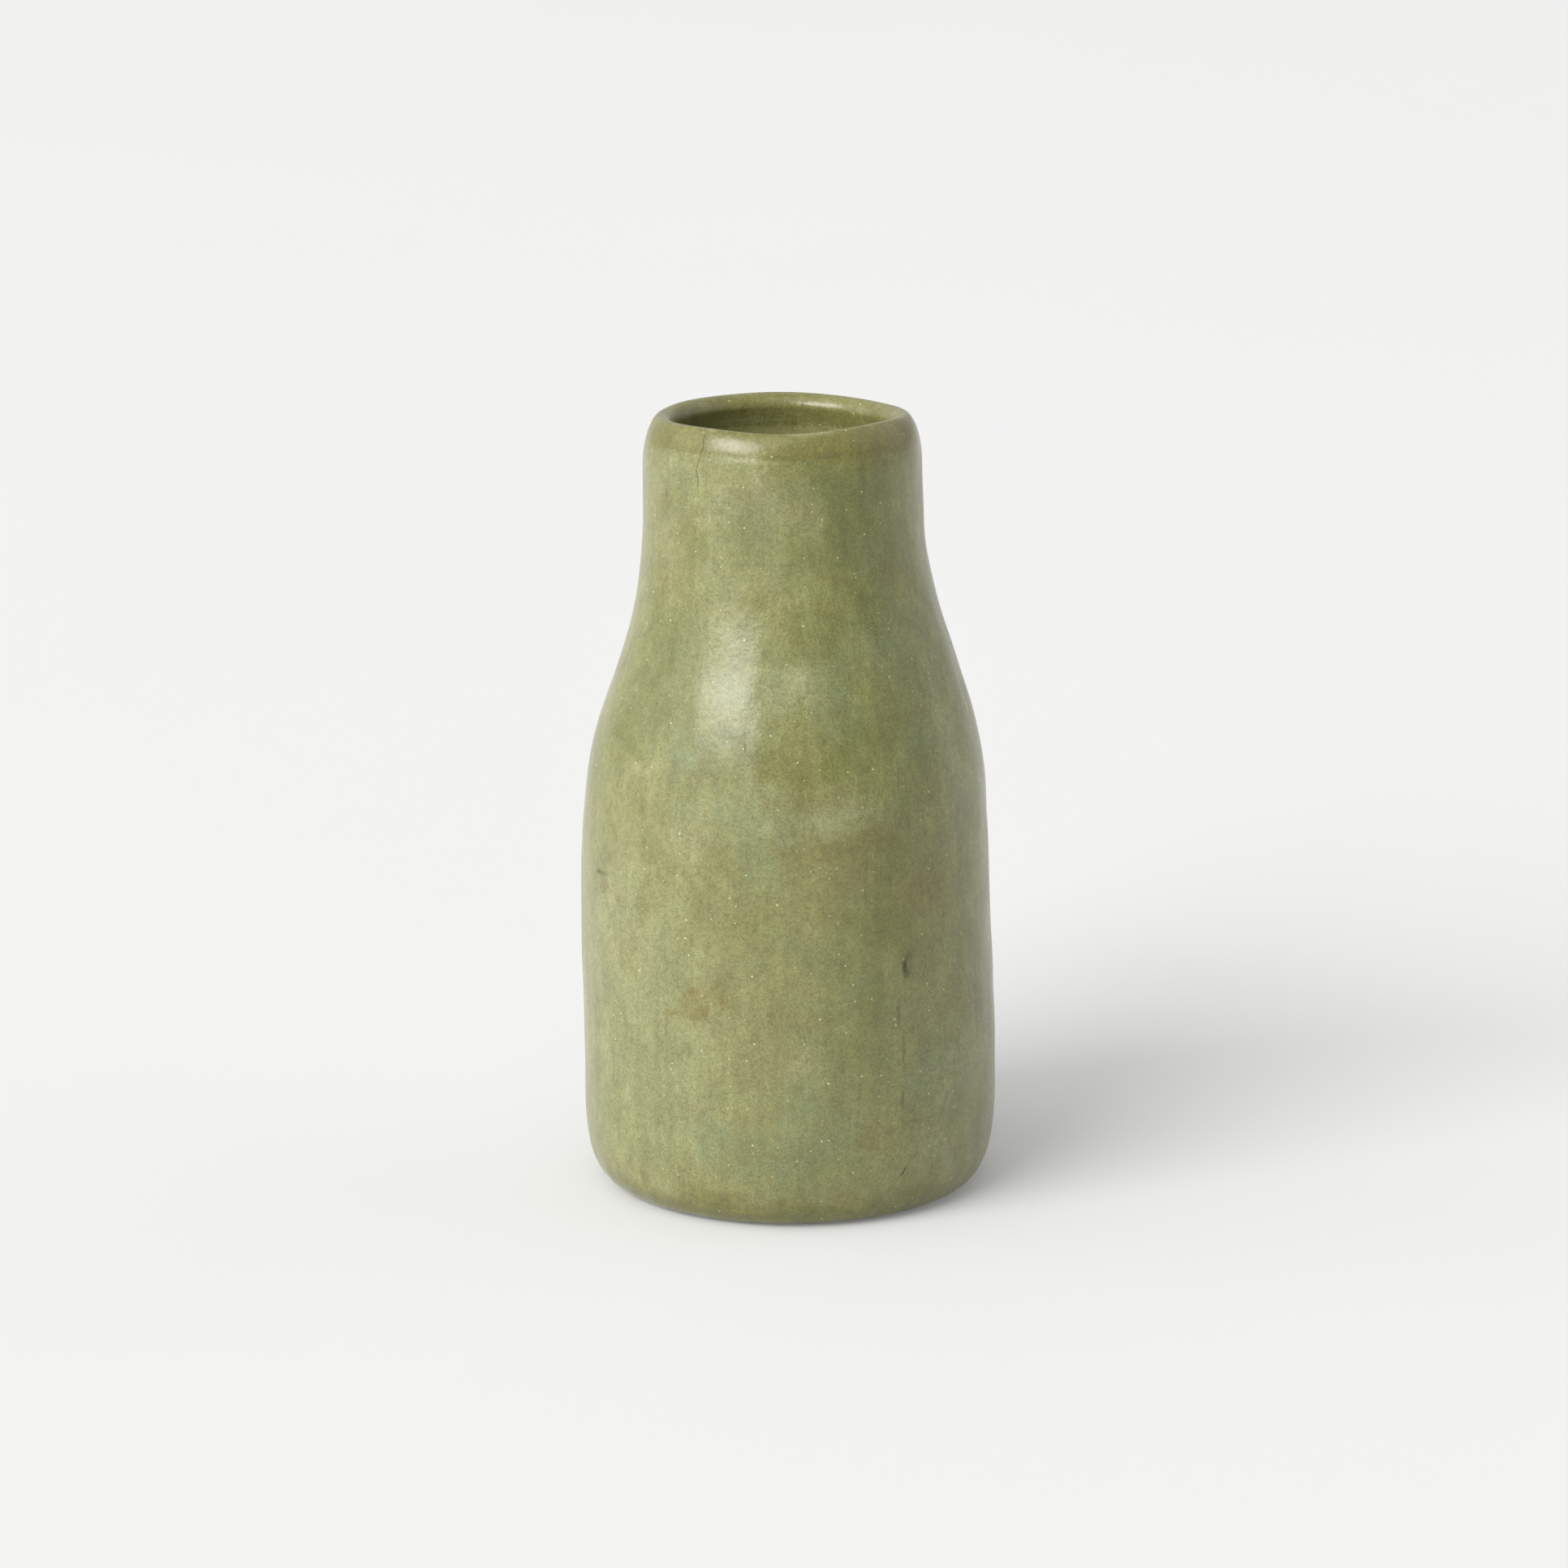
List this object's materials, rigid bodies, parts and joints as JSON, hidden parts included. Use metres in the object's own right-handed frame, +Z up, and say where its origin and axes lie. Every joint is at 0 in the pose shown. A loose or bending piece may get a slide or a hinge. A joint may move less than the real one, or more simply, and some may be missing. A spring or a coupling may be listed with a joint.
{
  "type": "pottery bottle vase",
  "caption": "Hand-built clay bottle vase with a round belly, sloping shoulder, wide short neck and rolled rim, standing on a flat base.",
  "frame": {"origin": "middle of the flat underside, on the surface that the vase stands on", "axes": "+Z up through the mouth, -Y to the front, +X to the right of the front"},
  "size_m": [0.1228, 0.1224, 0.2308],
  "materials": {
    "burnished_wall": "satin",
    "burnished_rim": "satin",
    "base_clay": "matte"
  },
  "bodies": {
    "root": {"base_slab": "base_clay", "foot_course": "burnished_wall", "lower_belly_course": "burnished_wall", "middle_belly_course": "burnished_wall", "upper_belly_course": "burnished_wall", "shoulder_turn_course": "burnished_wall", "lower_shoulder_course": "burnished_wall", "upper_shoulder_course": "burnished_wall", "neck_course": "burnished_wall", "rim_coil": "burnished_rim"}
  },
  "joints": []
}
